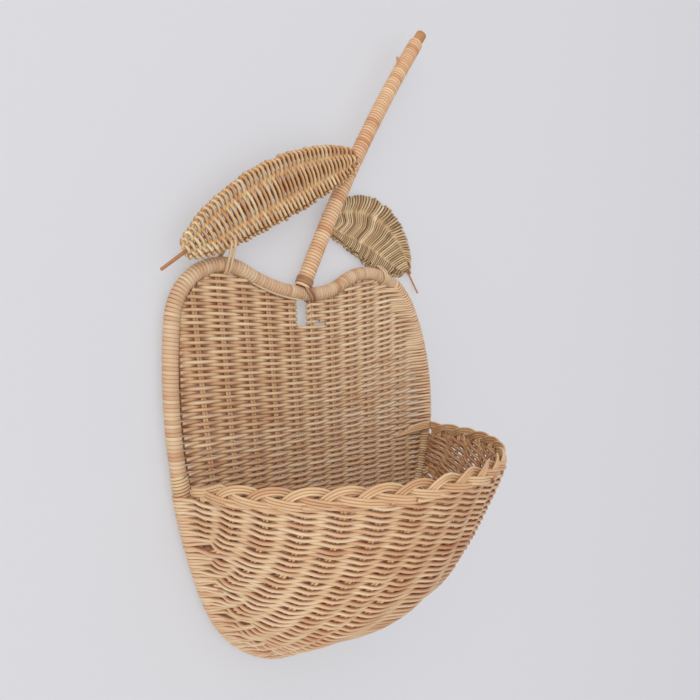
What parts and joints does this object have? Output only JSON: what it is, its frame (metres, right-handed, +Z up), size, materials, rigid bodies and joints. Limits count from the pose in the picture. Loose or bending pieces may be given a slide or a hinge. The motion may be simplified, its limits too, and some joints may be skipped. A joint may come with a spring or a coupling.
{
  "type": "woven wall basket",
  "caption": "Wall-hung rattan basket shaped like an apple: a bent pole hoop with a woven back, a half-bowl pocket with a plaited rim, a bound stem and woven leaves.",
  "frame": {"origin": "middle of the pole at the dip of the hoop, where the basket hangs on its hook", "axes": "+X to the right as seen from the room, +Y into the wall, +Z up"},
  "size_m": [0.2822, 0.1566, 0.5005],
  "materials": {
    "pole": "bare rattan pole",
    "peel": "smooth rattan peel, satin",
    "brown_peel": "dark rattan peel, satin",
    "reed": "round rattan core, lightly varnished",
    "stake_reed": "round rattan core",
    "leaf_reed": "golden rattan core",
    "olive_reed": "olive rattan core",
    "nail_steel": "plain wire nail"
  },
  "bodies": {
    "root": {"frame_hoop": "pole", "hoop_binding_left": "peel", "hoop_binding_right": "peel", "hoop_turns_right": "reed", "hoop_turns_lower": "reed", "back_weave": "reed", "pocket_weave": "reed", "rim_braid": "reed", "stem_pole": "pole", "stem_binding": "peel", "stem_foot_band": "brown_peel", "stem_nail": "nail_steel", "large_leaf_edge": "leaf_reed", "large_leaf_midrib": "leaf_reed", "large_leaf_weave": "leaf_reed", "large_leaf_tie": "peel", "small_leaf_edge": "olive_reed", "small_leaf_midrib": "olive_reed", "small_leaf_weave": "olive_reed", "small_leaf_tie": "peel", "back_stakes_1": "stake_reed", "back_stakes_2": "stake_reed", "back_stakes_3": "stake_reed", "back_stakes_4": "stake_reed", "back_stakes_5": "stake_reed", "back_stakes_6": "stake_reed", "back_stakes_7": "stake_reed", "back_stakes_8": "stake_reed", "back_stakes_9": "stake_reed", "back_stakes_10": "stake_reed", "back_stakes_11": "stake_reed", "pocket_stakes_1": "stake_reed", "pocket_stakes_2": "stake_reed", "pocket_stakes_3": "stake_reed", "pocket_stakes_4": "stake_reed", "pocket_stakes_5": "stake_reed", "pocket_stakes_6": "stake_reed", "pocket_stakes_7": "stake_reed", "pocket_stakes_8": "stake_reed", "pocket_stakes_9": "stake_reed", "pocket_stakes_10": "stake_reed", "pocket_stakes_11": "stake_reed", "pocket_stakes_12": "stake_reed", "pocket_stakes_13": "stake_reed", "pocket_stakes_14": "stake_reed", "pocket_stakes_15": "stake_reed"}
  },
  "joints": []
}
